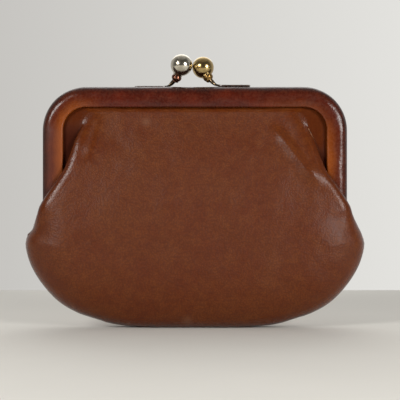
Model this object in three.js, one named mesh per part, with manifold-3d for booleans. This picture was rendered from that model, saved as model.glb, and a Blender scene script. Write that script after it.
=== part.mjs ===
// A coin purse with a leather-covered snap frame and two ball clasps that kiss.
// Millimetres. +Z is up, +X is to the right of someone who faces the purse, and the front faces -Y.
// The origin is on the table, under the middle of the closed purse.
import * as THREE from "three";
import { mergeVertices } from "three/addons/utils/BufferGeometryUtils.js";
import Module from "manifold-3d";

const wasm = await Module();
wasm.setup();

// ---- Driving dimensions ----

// The covered frame. "Reach" is measured inwards from the frame's outer edge, "depth" forwards from the
// parting plane.
const FRAME_HALF_WIDTH = 50.8; // a four-inch frame
const FRAME_TOP = 80.5;
const LEG_FOOT = 41.2;
const CORNER_RADIUS = 14.6;
const CORNER_STEPS = 9;
const BAND = 7.0; // how much of the covered bar shows from the front
const HALF_DEPTH = 6.2;
const PARTING_DEPTH = 0.2; // each half stops this far short of the parting plane
const SKIN = 0.9; // cover leather
const STEEL = 0.8; // frame channel
const FIT_GAP = 0.1; // between parts that touch

// The hinge.
const HINGE_HEIGHT = 43.0;
const OPENING = THREE.MathUtils.degToRad(28); // each half turns this far
const LUG_THICKNESS = 0.65;
const LUG_RADIUS = 1.7;
const RIVET_RADIUS = 0.75;
const RIVET_CLEARANCE = 0.07;
const RIVET_HEAD = { radius: 1.3, thickness: 0.55 };

// The pouch.
const PANEL = 1.2; // panel leather
const BELLY_DEPTH = 12.0;
const FOOT_DEPTH = 2.8; // half the width of the flat that the pouch stands on
const RIM_HEIGHT = 40.5; // where the lower panels end, below the swing of the upper ones
const SEAM_GAP = 0.15; // from each lower panel to the middle plane
// Half-widths and heights of the pouch's outline, from the foot up past the widest point to the rim.
const OUTLINE = [
  [14, 0],
  [26, 0.9],
  [33.5, 2.9],
  [40, 5.2],
  [46.2, 9.1],
  [51.6, 15.1],
  [55.1, 21.1],
  [56.85, 27.0],
  [55.9, 31.2],
  [54.0, 34.0],
  [52.5, 37.3],
  [51.2, RIM_HEIGHT],
];
const SEAM_TOP = new THREE.Vector2(54.5, 33.2); // the side seam ends in a notch here

// The clasps, which sit a little to the left of the frame's middle.
const CLASP_OFFSET = -0.9;
const BALL_RADIUS = 3.65;
const BALL_SPACING = 7.42; // across the two ball centres, seen from the front
const BALL_HEIGHT = 87.6;
const BALL_CROSSING = 0.9; // each ball rests this far past the parting plane
const PLATE = { from: 8.6, to: 19.4, width: 2.5, thickness: 0.6, depth: 1.95 };
const WIRE_RADIUS = 0.7;
const PLATE_RIVETS = [11.2, 16.4];
const PLATE_RIVET = { shaft: 0.42, head: 0.62, headThickness: 0.3 };

// ---- Materials ----

const material = (color, roughness, metalness = 0) =>
  new THREE.MeshStandardMaterial({ color, roughness, metalness });

const COVER_LEATHER = material(0x5e2813, 0.35);
const PANEL_LEATHER = material(0x66361f, 0.5);
const BRASS_PLATE = material(0xb08a4a, 0.3, 1);
const STEEL_PLATE = material(0x9a958a, 0.35, 1);
const BROWN_LACQUER = material(0x3b2318, 0.4);
const NICKEL = material(0xc9c6bb, 0.15, 1);
const THREAD = material(0x5a3a22, 0.8);
const PAPER_CORD = material(0xa38a66, 0.9);

// ---- Solids ----

const AXIS = {
  x: new THREE.Vector3(1, 0, 0),
  y: new THREE.Vector3(0, 1, 0),
  z: new THREE.Vector3(0, 0, 1),
};

/** A closed geometry as a manifold solid. */
function solidOf(geometry) {
  const bare = geometry.index ? geometry.toNonIndexed() : geometry.clone();
  bare.deleteAttribute("normal");
  bare.deleteAttribute("uv");
  const merged = mergeVertices(bare, 1e-4);
  return new wasm.Manifold(
    new wasm.Mesh({
      numProp: 3,
      vertProperties: merged.attributes.position.array,
      triVerts: new Uint32Array(merged.index.array),
    }),
  );
}

/** A manifold solid as a geometry. */
function geometryOf(solid) {
  const mesh = solid.getMesh();
  return new THREE.BufferGeometry()
    .setAttribute("position", new THREE.BufferAttribute(mesh.vertProperties, 3))
    .setIndex(new THREE.BufferAttribute(mesh.triVerts, 1));
}

/** Takes every tool away from a geometry. */
const cut = (geometry, ...tools) =>
  geometryOf(tools.reduce((left, tool) => left.subtract(solidOf(tool)), solidOf(geometry)));

/** An outline of [across, up] points, extruded between two depths along Y. */
function slabAlongY(points, near, far) {
  const shape = new THREE.Shape(points.map(([x, z]) => new THREE.Vector2(x, z)));
  return new THREE.ExtrudeGeometry(shape, { depth: far - near, bevelEnabled: false })
    .rotateX(Math.PI / 2)
    .translate(0, far, 0);
}

/** A shape drawn in (y, z), extruded along X between two places. */
function slabAlongX(shape, from, to) {
  return new THREE.ExtrudeGeometry(shape, { depth: to - from, bevelEnabled: false, curveSegments: 20 })
    .rotateY(Math.PI / 2)
    .rotateX(Math.PI / 2)
    .translate(from, 0, 0);
}

/** A turned part: [radius, height] points about an axis through a centre. */
function turned(profile, axis, centre, segments = 20) {
  const points = profile.map(([r, h]) => new THREE.Vector2(r, h));
  const turn = new THREE.Quaternion().setFromUnitVectors(AXIS.y, axis);
  return new THREE.LatheGeometry(points, segments).applyQuaternion(turn).translate(...centre);
}

const rod = (radius, from, to, axis, centre, segments) =>
  turned([[0, from], [radius, from], [radius, to], [0, to]], axis, centre, segments);

/** A round bar along a curve. */
function bar(curve, radius, steps, sides) {
  const ring = Array.from({ length: sides }, (_, i) => {
    const a = (i / sides) * 2 * Math.PI;
    return new THREE.Vector2(radius * Math.cos(a), radius * Math.sin(a));
  });
  return new THREE.ExtrudeGeometry(new THREE.Shape(ring), {
    steps,
    extrudePath: curve,
    bevelEnabled: false,
  });
}

/**
 * A leather sheet: two grids of points, joined round their edge. outer and inner turn u and v, each from 0
 * to 1, into a place.
 */
function sheet(columns, rows, outer, inner) {
  const position = [];
  for (const face of [outer, inner])
    for (let j = 0; j <= rows; j++)
      for (let i = 0; i <= columns; i++) position.push(...face(i / columns, j / rows));
  const at = (i, j, side) => side * (columns + 1) * (rows + 1) + j * (columns + 1) + i;
  const index = [];
  const quad = (a, b, c, d) => index.push(a, b, c, a, c, d);
  for (let j = 0; j < rows; j++)
    for (let i = 0; i < columns; i++) {
      quad(at(i, j, 0), at(i + 1, j, 0), at(i + 1, j + 1, 0), at(i, j + 1, 0));
      quad(at(i, j, 1), at(i, j + 1, 1), at(i + 1, j + 1, 1), at(i + 1, j, 1));
    }
  for (let i = 0; i < columns; i++) {
    quad(at(i, 0, 0), at(i, 0, 1), at(i + 1, 0, 1), at(i + 1, 0, 0));
    quad(at(i, rows, 0), at(i + 1, rows, 0), at(i + 1, rows, 1), at(i, rows, 1));
  }
  for (let j = 0; j < rows; j++) {
    quad(at(0, j, 0), at(0, j + 1, 0), at(0, j + 1, 1), at(0, j, 1));
    quad(at(columns, j, 0), at(columns, j, 1), at(columns, j + 1, 1), at(columns, j + 1, 0));
  }
  return new THREE.BufferGeometry()
    .setAttribute("position", new THREE.Float32BufferAttribute(position, 3))
    .setIndex(index);
}

/** Rings of the same number of points stacked upwards, closed by a fan at each end. */
function stack(rings) {
  const count = rings[0].length;
  const mean = (ring) =>
    ring[0].map((_, k) => ring.reduce((sum, p) => sum + p[k], 0) / count);
  const position = [...rings.flat(2), ...mean(rings[0]), ...mean(rings[rings.length - 1])];
  const index = [];
  rings.slice(1).forEach((_, level) => {
    for (let i = 0; i < count; i++) {
      const a = level * count + i;
      const b = level * count + ((i + 1) % count);
      index.push(a, b, b + count, a, b + count, a + count);
    }
  });
  const floor = rings.length * count;
  const lastRing = floor - count;
  for (let i = 0; i < count; i++) {
    const next = (i + 1) % count;
    index.push(floor, next, i, floor + 1, lastRing + i, lastRing + next);
  }
  return new THREE.BufferGeometry()
    .setAttribute("position", new THREE.Float32BufferAttribute(position, 3))
    .setIndex(index);
}

// ---- The frame ----

/**
 * The frame's outer edge, or a line at some reach inside it: up the left leg, round the two corners and down
 * the right leg. Its stations are the curve's own points, so that the straight bars take no extra steps.
 * Along it an extruded shape's x is the depth towards the front and its y is the reach.
 */
class FrameLine extends THREE.Curve {
  constructor(foot, reach = 0) {
    super();
    const half = FRAME_HALF_WIDTH - reach;
    const radius = CORNER_RADIUS - reach;
    const top = FRAME_TOP - CORNER_RADIUS;
    const across = FRAME_HALF_WIDTH - CORNER_RADIUS;
    this.stations = [{ place: new THREE.Vector3(-half, 0, foot), way: AXIS.z.clone() }];
    for (const [side, start] of [[-1, Math.PI], [1, Math.PI / 2]])
      for (let i = 0; i <= CORNER_STEPS; i++) {
        const a = start - (i / CORNER_STEPS) * (Math.PI / 2);
        this.stations.push({
          place: new THREE.Vector3(side * across + radius * Math.cos(a), 0, top + radius * Math.sin(a)),
          way: new THREE.Vector3(Math.sin(a), 0, -Math.cos(a)),
        });
      }
    this.stations.push({ place: new THREE.Vector3(half, 0, foot), way: AXIS.z.clone().negate() });
    this.steps = this.stations.length - 1;
  }

  getUtoTmapping(u) {
    return u;
  }

  near(t) {
    const whole = Math.min(Math.floor(t * this.steps + 1e-6), this.steps - 1);
    return { a: this.stations[whole], b: this.stations[whole + 1], share: t * this.steps - whole };
  }

  getPoint(t, target = new THREE.Vector3()) {
    const { a, b, share } = this.near(t);
    return target.lerpVectors(a.place, b.place, share);
  }

  getTangent(t, target = new THREE.Vector3()) {
    const { a, b, share } = this.near(t);
    return target.lerpVectors(a.way, b.way, share).normalize();
  }
}

/** A section drawn in (depth, reach), carried along the whole frame. */
function alongFrame(shape, foot = LEG_FOOT) {
  const line = new FrameLine(foot);
  return new THREE.ExtrudeGeometry(shape, {
    steps: line.steps,
    extrudePath: line,
    bevelEnabled: false,
    curveSegments: 4,
  });
}

const LIP_DEPTH = HALF_DEPTH - 2 * SKIN; // the cover's lip turns under the channel's front flange
const SHOULDER = 3.6; // reach at which the rounded shoulder meets the front face
const CROWN = 2.7; // depth at which the flat top meets the shoulder

/** The leather cover: round the outer edge and the front, with a lip under the channel's edge. */
function coverSection() {
  const inside = HALF_DEPTH - SKIN;
  const lipReach = BAND - 0.75;
  return new THREE.Shape()
    .moveTo(PARTING_DEPTH, SKIN)
    .lineTo(PARTING_DEPTH, 0.35)
    .lineTo(PARTING_DEPTH + 0.35, 0)
    .lineTo(CROWN, 0)
    .bezierCurveTo(4.7, 0, HALF_DEPTH, 1.4, HALF_DEPTH, SHOULDER)
    .lineTo(HALF_DEPTH - 0.1, BAND - 0.7)
    .quadraticCurveTo(HALF_DEPTH - 0.15, BAND, HALF_DEPTH - 0.75, BAND)
    .lineTo(LIP_DEPTH, BAND)
    .lineTo(LIP_DEPTH, lipReach)
    .lineTo(inside, lipReach)
    .lineTo(inside, SHOULDER)
    .bezierCurveTo(inside, 2.0, 4.3, SKIN, CROWN, SKIN)
    .closePath();
}

const WEB_OUTSIDE = SKIN + FIT_GAP + 0.15;
const WEB_INSIDE = WEB_OUTSIDE + STEEL;
const FLANGE_DEPTH = HALF_DEPTH - SKIN - FIT_GAP; // outer face of the front flange
const FLANGE_REACH = 6.1;
const BACK_FLANGE_DEPTH = 0.5;
const BACK_FLANGE_REACH = 5.6;

/** The rolled steel channel: its mouth faces inwards and takes the panel's edge. */
function channelSection() {
  const inner = FLANGE_DEPTH - STEEL;
  const backInner = BACK_FLANGE_DEPTH + STEEL;
  return new THREE.Shape()
    .moveTo(BACK_FLANGE_DEPTH, WEB_OUTSIDE)
    .lineTo(CROWN - 0.2, WEB_OUTSIDE)
    .bezierCurveTo(4.2, WEB_OUTSIDE, FLANGE_DEPTH, 2.1, FLANGE_DEPTH, SHOULDER + 0.1)
    .lineTo(FLANGE_DEPTH, FLANGE_REACH)
    .lineTo(inner, FLANGE_REACH)
    .lineTo(inner, SHOULDER + 0.1)
    .bezierCurveTo(inner, 2.7, 3.6, WEB_INSIDE, CROWN - 0.2, WEB_INSIDE)
    .lineTo(backInner, WEB_INSIDE)
    .lineTo(backInner, BACK_FLANGE_REACH)
    .lineTo(BACK_FLANGE_DEPTH, BACK_FLANGE_REACH)
    .closePath();
}

/** What the legs' feet lose at the parting plane, so that the halves can turn about the rivets. */
function footBevel() {
  const drop = HINGE_HEIGHT - LEG_FOOT + 0.3;
  const slope = (PARTING_DEPTH + drop * Math.sin(OPENING)) / Math.cos(OPENING) + 0.1;
  const wedge = new THREE.Shape([
    new THREE.Vector2(-0.1, HINGE_HEIGHT + 0.2),
    new THREE.Vector2(-slope, HINGE_HEIGHT - drop),
    new THREE.Vector2(1, HINGE_HEIGHT - drop),
    new THREE.Vector2(1, HINGE_HEIGHT + 0.2),
  ]);
  return slabAlongX(wedge, -FRAME_HALF_WIDTH - 5, FRAME_HALF_WIDTH + 5);
}

/** Room for the two lugs where they cross the channel's back flange. */
function lugNotch(side) {
  const from = FRAME_HALF_WIDTH - WEB_INSIDE + 0.05;
  const to = FRAME_HALF_WIDTH - BACK_FLANGE_REACH - 0.5;
  return new THREE.BoxGeometry(from - to, 2, 10).translate((side * (from + to)) / 2, -0.6, HINGE_HEIGHT);
}

/** Holes for the plate's rivets, through the plate, the cover and the channel. */
const rivetHoles = (offset) =>
  PLATE_RIVETS.map((x) =>
    rod(PLATE_RIVET.shaft + 0.1, -6, 2, AXIS.z, [x + offset, -PLATE.depth, FRAME_TOP], 12),
  );

const LUG_REACH = 2.55; // of the lugs' outer faces, before the jog
const LUG_SEAT = FRAME_HALF_WIDTH - LUG_REACH;

/** A joggled lug: a foot inside the channel and a round end on the hinge axis. Drawn for the left leg. */
function hingeLug(jog) {
  const outside = -LUG_SEAT;
  const inside = outside + LUG_THICKNESS;
  const foot = { front: 3.6, back: 1.4, low: 47.8, high: 52.5 };
  const strip = slabAlongY(
    [
      [outside, foot.high],
      [outside, foot.low],
      [outside + jog, 46],
      [outside + jog, HINGE_HEIGHT - 2],
      [inside + jog, HINGE_HEIGHT - 2],
      [inside + jog, 46.2],
      [inside, foot.low + 0.2],
      [inside, foot.high],
    ],
    -foot.front - 0.2,
    LUG_RADIUS + 0.2,
  );
  const outline = new THREE.Shape()
    .moveTo(-foot.front, foot.high)
    .lineTo(-foot.front, 46)
    .lineTo(-LUG_RADIUS, HINGE_HEIGHT)
    .absarc(0, HINGE_HEIGHT, LUG_RADIUS, Math.PI, THREE.MathUtils.degToRad(35), false)
    .lineTo(-foot.back, foot.low)
    .lineTo(-foot.back, foot.high)
    .closePath();
  const hole = rod(RIVET_RADIUS + RIVET_CLEARANCE, -5, 5, AXIS.x, [outside, 0, HINGE_HEIGHT], 24);
  const plate = solidOf(strip).intersect(solidOf(slabAlongX(outline, -FRAME_HALF_WIDTH, -40)));
  return geometryOf(plate.subtract(solidOf(hole)));
}

const FRONT_JOG = RIVET_HEAD.thickness + FIT_GAP;
const WASHER_THICKNESS = 0.4;
const WASHER_RADIUS = 1.55;
const REAR_JOG = FRONT_JOG + LUG_THICKNESS + WASHER_THICKNESS + 2 * FIT_GAP;

/** The hinge rivet of the left side, head to peened tail along X. */
function hingeRivet() {
  const length = REAR_JOG + LUG_THICKNESS + FIT_GAP + RIVET_HEAD.thickness;
  const { radius, thickness } = RIVET_HEAD;
  return turned(
    [
      [0, 0],
      [radius - 0.25, 0],
      [radius, 0.25],
      [radius, thickness],
      [RIVET_RADIUS, thickness],
      [RIVET_RADIUS, length - thickness],
      [radius - 0.1, length - thickness],
      [radius - 0.1, length - 0.25],
      [radius - 0.4, length],
      [0, length],
    ],
    AXIS.x,
    [-LUG_SEAT, 0, HINGE_HEIGHT],
    20,
  );
}

/** The washer between the front and the rear lug of the left side. */
function hingeWasher() {
  const from = FRONT_JOG + LUG_THICKNESS + FIT_GAP;
  const to = from + WASHER_THICKNESS;
  const bore = RIVET_RADIUS + RIVET_CLEARANCE;
  const ring = [[bore, from], [WASHER_RADIUS, from], [WASHER_RADIUS, to], [bore, to], [bore, from]];
  return turned(ring, AXIS.x, [-LUG_SEAT, 0, HINGE_HEIGHT], 20);
}

// ---- The pouch ----

const smooth = (t) => {
  const c = THREE.MathUtils.clamp(t, 0, 1);
  return c * c * (3 - 2 * c);
};

const outlineCurve = new THREE.CatmullRomCurve3(
  OUTLINE.map(([x, z]) => new THREE.Vector3(x, 0, z)),
  false,
  "centripetal",
);

/**
 * The upper panel's outer depth between the frame's bars: level with the channel at its edge, fuller in the
 * middle and lower down.
 */
function upperDepth(x, z) {
  const fullest = 8.2;
  const besideBar = BAND + 0.4;
  const legSlope = 14;
  const topSlope = 28;
  const atChannel = FLANGE_DEPTH - STEEL - 0.15;
  const fromLeg = smooth((FRAME_HALF_WIDTH - besideBar - Math.abs(x)) / legSlope);
  const fromTop = smooth((FRAME_TOP - besideBar - z) / topSlope);
  return atChannel + (fullest - atChannel) * fromLeg * fromTop;
}

/**
 * The front panel from the frame down to just inside the lower panel's rim. Its edge runs in the channel,
 * and keeps out of the way of the lugs further down.
 */
function upperPanel() {
  const inChannel = 3.2; // reach of the edge where the channel holds it
  const pastLugs = 5.7; // and where it stays clear of the lugs
  const bottom = RIM_HEIGHT - 1.3;
  const top = FRAME_TOP - inChannel;
  const radius = CORNER_RADIUS - inChannel;
  const deepEdge = FRAME_HALF_WIDTH - inChannel;
  const shallowEdge = FRAME_HALF_WIDTH - pastLugs;
  const arch = (x) => {
    const past = Math.max(0, Math.abs(x) - (deepEdge - radius));
    return top - radius + Math.sqrt(Math.max(radius ** 2 - past ** 2, 0));
  };
  const face = (skin) => (u, v) => {
    const across = 2 * u - 1;
    const z = bottom + v * (arch(across * deepEdge) - bottom);
    const x = across * (shallowEdge + (deepEdge - shallowEdge) * smooth((z - 53.5) / 3));
    return [x, -(upperDepth(x, z) - skin), z];
  };
  return sheet(22, 10, face(0), face(PANEL));
}

/** The pouch's half-depth in the middle at a height: a flat foot, a round bottom and a full, level belly. */
function bellyDepth(z) {
  const levelFrom = 24;
  const levelTo = 37;
  if (z > levelFrom) return BELLY_DEPTH - 0.3 * smooth((z - levelTo) / 8);
  const fall = (levelFrom - z) / levelFrom;
  return FOOT_DEPTH + (BELLY_DEPTH - FOOT_DEPTH) * (1 - fall ** 2.8) ** (1 / 1.9);
}

/**
 * A level ring of the pouch, a lens with rounded edges and a flat middle: depth falls off as a power of the
 * way across.
 */
function pouchRing(halfWidth, halfDepth, z) {
  const count = 40;
  const flatten = 1.03;
  return Array.from({ length: count }, (_, i) => {
    const a = (i / count) * 2 * Math.PI;
    const x = halfWidth * Math.sign(Math.cos(a)) * Math.abs(Math.cos(a)) ** 0.72;
    const depth = Math.min(1, flatten * Math.abs(Math.sin(a)) ** 1.05);
    return [x, halfDepth * Math.sign(Math.sin(a)) * depth, z];
  });
}

const POUCH_LEVELS = 15;

/** The pouch below the rim as one solid, shrunk by the leather's thickness for its inside. */
function pouchSolid(skin) {
  const rings = [];
  for (let i = 0; i <= POUCH_LEVELS; i++) {
    const { x, z } = outlineCurve.getPointAt(i / POUCH_LEVELS);
    const height = skin + (z * (RIM_HEIGHT - skin + (skin ? 1 : 0))) / RIM_HEIGHT;
    rings.push(pouchRing(x - skin * 1.15, bellyDepth(z) - skin, height));
  }
  return stack(rings);
}

/** The front panel below the hinge: half of the hollow pouch, cut to the slit's free edges. */
function lowerPanel() {
  const keep = slabAlongY(
    [
      [-60, -1],
      [60, -1],
      [60, SEAM_TOP.y - (60 - SEAM_TOP.x) / 2],
      [SEAM_TOP.x, SEAM_TOP.y],
      [40, RIM_HEIGHT],
      [-40, RIM_HEIGHT],
      [-SEAM_TOP.x, SEAM_TOP.y],
      [-60, SEAM_TOP.y - (60 - SEAM_TOP.x) / 2],
    ],
    -20,
    -SEAM_GAP,
  );
  const shell = solidOf(pouchSolid(0)).subtract(solidOf(pouchSolid(PANEL)));
  return geometryOf(shell.intersect(solidOf(keep)));
}

/** The lockstitch that joins the panels, just inside the turned seam. */
function seamThread() {
  const inset = 2.5;
  const radius = 0.25;
  const right = [0.86, 0.79, 0.72, 0.65, 0.57, 0.49, 0.41, 0.33, 0.25, 0.16, 0.05].map((t) => {
    const { x, z } = outlineCurve.getPointAt(t);
    const way = outlineCurve.getTangentAt(t);
    return new THREE.Vector3(x - inset * way.z, 0, z + inset * way.x);
  });
  const left = [...right].reverse().map(({ x, z }) => new THREE.Vector3(-x, 0, z));
  const line = new THREE.CatmullRomCurve3([...right, ...left], false, "centripetal");
  return bar(line, radius, 46, 5);
}

/** The bar of thread that stops the side seam from opening at its notch. Drawn for the right side. */
function seamTack() {
  const centre = [SEAM_TOP.x - 0.9, 0, SEAM_TOP.y + 1.15];
  const radius = 0.45;
  const halfLength = 1.6;
  return rod(radius, -halfLength, halfLength, AXIS.y, centre, 10);
}

// ---- The clasp of the front half, on its right-hand side ----

const PLATE_BASE = FRAME_TOP + FIT_GAP;

/** The spring plate on top of the frame, its outer end square and its inner end drawn in. */
function claspPlate() {
  const half = PLATE.width / 2;
  const shape = new THREE.Shape()
    .moveTo(PLATE.from, -0.8)
    .lineTo(PLATE.from + 1.6, -half)
    .lineTo(PLATE.to, -half)
    .lineTo(PLATE.to, half)
    .lineTo(PLATE.from + 1.6, half)
    .lineTo(PLATE.from, 0.8)
    .closePath();
  const plate = new THREE.ExtrudeGeometry(shape, {
    depth: PLATE.thickness - 0.16,
    bevelSize: 0.08,
    bevelOffset: -0.08,
    bevelThickness: 0.08,
    bevelSegments: 1,
  }).translate(0, -PLATE.depth, PLATE_BASE + 0.08);
  return cut(plate, ...rivetHoles(0));
}

/** A rivet of the plate: a low head on the plate and a peened tail under the channel's web. */
function plateRivet(x) {
  const { shaft, head, headThickness } = PLATE_RIVET;
  const top = PLATE.thickness + FIT_GAP + 0.05;
  const underWeb = -WEB_INSIDE - 0.05;
  return turned(
    [
      [0, underWeb - headThickness],
      [head, underWeb - headThickness],
      [head, underWeb],
      [shaft, underWeb],
      [shaft, top],
      [head, top],
      [head - 0.15, top + 0.18],
      [0, top + 0.22],
    ],
    AXIS.z,
    [x, -PLATE.depth, FRAME_TOP],
    12,
  );
}

const WIRE_BASE = FRAME_TOP + 0.15 + WIRE_RADIUS; // height of the wire's foot
const BALL = new THREE.Vector3(BALL_SPACING / 2, BALL_CROSSING, BALL_HEIGHT);

/** The bent wire from the plate's inner end up into the ball. */
const wireCurve = new THREE.CatmullRomCurve3(
  [
    new THREE.Vector3(PLATE.from - 0.3, -PLATE.depth, WIRE_BASE),
    new THREE.Vector3(PLATE.from - 1.1, -PLATE.depth + 0.1, WIRE_BASE + 0.25),
    new THREE.Vector3(PLATE.from - 2.4, -1.15, WIRE_BASE + 1.5),
    new THREE.Vector3(PLATE.from - 3.5, -0.35, WIRE_BASE + 2.8),
    BALL.clone().lerp(new THREE.Vector3(BALL.x + 1.7, BALL.y - 0.9, BALL.z - 3.2), 0.42),
  ],
  false,
  "centripetal",
);

const wireBar = (radius) => bar(wireCurve, radius, 12, 10);
const WIRE_CLEARANCE = 0.12;

const COLLAR_RADIUS = 1.42;
const COLLAR_CENTRE = wireCurve.getPointAt(0.66);
const COLLAR_TURN = new THREE.Quaternion().setFromUnitVectors(AXIS.z, wireCurve.getTangentAt(0.74));

/** The clasp ball, bored for the wire's end and hollowed to seat on the collar. */
function claspBall() {
  const sphere = new THREE.SphereGeometry(BALL_RADIUS, 22, 13).rotateX(Math.PI / 2).translate(...BALL);
  const seat = rod(COLLAR_RADIUS + 0.2, -3, 3, AXIS.z, [0, 0, 0], 12)
    .applyQuaternion(COLLAR_TURN)
    .translate(...COLLAR_CENTRE);
  return cut(sphere, wireBar(WIRE_RADIUS + WIRE_CLEARANCE), seat);
}

/** The bead-shaped collar that the ball is crimped on to. */
function claspCollar() {
  const bead = turned(
    [
      [0, -1.05],
      [0.95, -1.05],
      [1.35, -0.5],
      [COLLAR_RADIUS, 0.1],
      [1.2, 0.75],
      [1.0, 1.0],
      [0, 1.0],
    ],
    AXIS.z,
    [0, 0, 0],
    16,
  )
    .applyQuaternion(COLLAR_TURN)
    .translate(...COLLAR_CENTRE);
  return cut(bead, wireBar(WIRE_RADIUS + WIRE_CLEARANCE));
}

// ---- Assembly ----

// The paper cord that wedges the panel's edge in the channel.
const CORD = { foot: 54, reach: 4.3, radius: 0.65, depth: 2.05 };

function named(name, geometry, finish) {
  const mesh = new THREE.Mesh(geometry, finish);
  mesh.name = name;
  return mesh;
}

/** The same piece on the other side of the purse's middle, left for right. */
function mirrored(mesh) {
  mesh.scale.x = -1;
  return mesh;
}

/** One half of the purse above the hinge, drawn as the front half. left and right name its own sides. */
function frameHalf(name, jog, left, right, ballFinish, claspOffset) {
  const half = new THREE.Group();
  const holes = [footBevel(), ...rivetHoles(claspOffset)];
  const channel = cut(alongFrame(channelSection()), lugNotch(-1), lugNotch(1), ...holes);
  const cord = bar(new FrameLine(CORD.foot, CORD.reach), CORD.radius, 21, 6).translate(0, -CORD.depth, 0);
  const clasp = [
    named(`${name}_clasp_plate`, claspPlate(), BROWN_LACQUER),
    named(`${name}_clasp_wire`, wireBar(WIRE_RADIUS), BRASS_PLATE),
    named(`${name}_clasp_collar`, claspCollar(), BRASS_PLATE),
    named(`${name}_clasp_ball`, claspBall(), ballFinish),
    named(`${name}_plate_rivet_inner`, plateRivet(PLATE_RIVETS[0]), BRASS_PLATE),
    named(`${name}_plate_rivet_outer`, plateRivet(PLATE_RIVETS[1]), BRASS_PLATE),
  ];
  clasp.forEach((mesh) => mesh.position.setX(claspOffset));
  half.add(
    named(`${name}_frame_channel`, channel, BRASS_PLATE),
    named(`${name}_frame_cover`, cut(alongFrame(coverSection()), ...holes), COVER_LEATHER),
    named(`${name}_panel_upper`, upperPanel(), PANEL_LEATHER),
    named(`${name}_channel_cord`, cord, PAPER_CORD),
    named(`${name}_hinge_lug_${left}`, hingeLug(jog), STEEL_PLATE),
    mirrored(named(`${name}_hinge_lug_${right}`, hingeLug(jog), STEEL_PLATE)),
    ...clasp,
  );
  return half;
}

const purse = new THREE.Group();
const front = frameHalf("front", FRONT_JOG, "left", "right", BRASS_PLATE, CLASP_OFFSET);
// Turned to face the back, where the same offset counts the other way.
const rear = frameHalf("rear", REAR_JOG, "right", "left", NICKEL, -CLASP_OFFSET);
rear.rotation.z = Math.PI;

const rearLower = named("rear_panel_lower", lowerPanel(), PANEL_LEATHER);
rearLower.rotation.z = Math.PI;
purse.add(
  front,
  rear,
  named("front_panel_lower", lowerPanel(), PANEL_LEATHER),
  rearLower,
  named("seam_thread", seamThread(), THREAD),
  named("hinge_rivet_left", hingeRivet(), STEEL_PLATE),
  mirrored(named("hinge_rivet_right", hingeRivet(), STEEL_PLATE)),
  named("hinge_washer_left", hingeWasher(), STEEL_PLATE),
  mirrored(named("hinge_washer_right", hingeWasher(), STEEL_PLATE)),
  named("seam_tack_right", seamTack(), THREAD),
  mirrored(named("seam_tack_left", seamTack(), THREAD)),
);

export default purse;
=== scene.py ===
"""A leather coin purse on a covered snap frame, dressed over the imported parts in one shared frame."""

import math

import bpy
import numpy as np
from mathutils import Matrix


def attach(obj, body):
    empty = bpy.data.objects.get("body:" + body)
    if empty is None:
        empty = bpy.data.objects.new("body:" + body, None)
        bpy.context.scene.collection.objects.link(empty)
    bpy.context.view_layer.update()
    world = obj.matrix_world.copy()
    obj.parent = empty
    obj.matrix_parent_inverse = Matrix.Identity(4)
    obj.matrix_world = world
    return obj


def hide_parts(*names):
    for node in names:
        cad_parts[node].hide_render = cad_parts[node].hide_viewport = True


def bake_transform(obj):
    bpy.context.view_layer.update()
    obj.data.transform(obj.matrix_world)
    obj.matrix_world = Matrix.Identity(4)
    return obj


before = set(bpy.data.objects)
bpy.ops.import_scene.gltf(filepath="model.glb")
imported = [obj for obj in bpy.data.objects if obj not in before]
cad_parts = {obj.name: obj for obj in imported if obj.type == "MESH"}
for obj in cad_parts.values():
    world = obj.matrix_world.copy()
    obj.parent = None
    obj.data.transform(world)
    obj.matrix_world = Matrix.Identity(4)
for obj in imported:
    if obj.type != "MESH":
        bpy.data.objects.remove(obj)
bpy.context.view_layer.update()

MM = 0.001

# ---- Sizes shared with the frame, in millimetres. Depth is counted from the parting plane. ----

FRAME_HALF_WIDTH = 50.8
FRAME_TOP = 80.5
LEG_FOOT = 41.2
CORNER_RADIUS = 14.6
HINGE_HEIGHT = 43.0
CLASP_OFFSET = 0.9
BALL_RADIUS = 3.65
CORNER_ACROSS = FRAME_HALF_WIDTH - CORNER_RADIUS
CORNER_UP = FRAME_TOP - CORNER_RADIUS

# ---- Small tools ----


def smooth(t):
    """3t^2 - 2t^3 between 0 and 1."""
    c = np.clip(t, 0, 1)
    return c * c * (3 - 2 * c)


def mix(a, b, share):
    """a + (b - a) * share, with share spread over the last axis of points."""
    share = np.asarray(share, float)
    if np.ndim(a) > np.ndim(share):
        share = share[..., None]
    return a + (np.asarray(b, float) - a) * share


def through(points, count, shares=None, before=None, after=None):
    """A Catmull-Rom line through points, sampled at even shares of its length or at the given ones.
    before and after are its neighbours past the ends, if it goes on there."""
    p = np.asarray(points, float)
    start = 2 * p[0] - p[1] if before is None else np.asarray(before, float)
    end = 2 * p[-1] - p[-2] if after is None else np.asarray(after, float)
    p = np.vstack([start, p, end])
    t = np.linspace(0, 1, 24, endpoint=False)[:, None]
    pieces = [
        0.5 * (2 * b + (c - a) * t + (2 * a - 5 * b + 4 * c - d) * t**2 + (3 * b - a - 3 * c + d) * t**3)
        for a, b, c, d in zip(p[:-3], p[1:-2], p[2:-1], p[3:])
    ]
    line = np.vstack(pieces + [p[-2:-1]])
    run = np.concatenate([[0], np.cumsum(np.linalg.norm(np.diff(line, axis=0), axis=1))])
    wanted = (np.linspace(0, 1, count) if shares is None else np.asarray(shares)) * run[-1]
    return np.stack([np.interp(wanted, run, line[:, k]) for k in range(line.shape[1])], axis=1)


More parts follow.
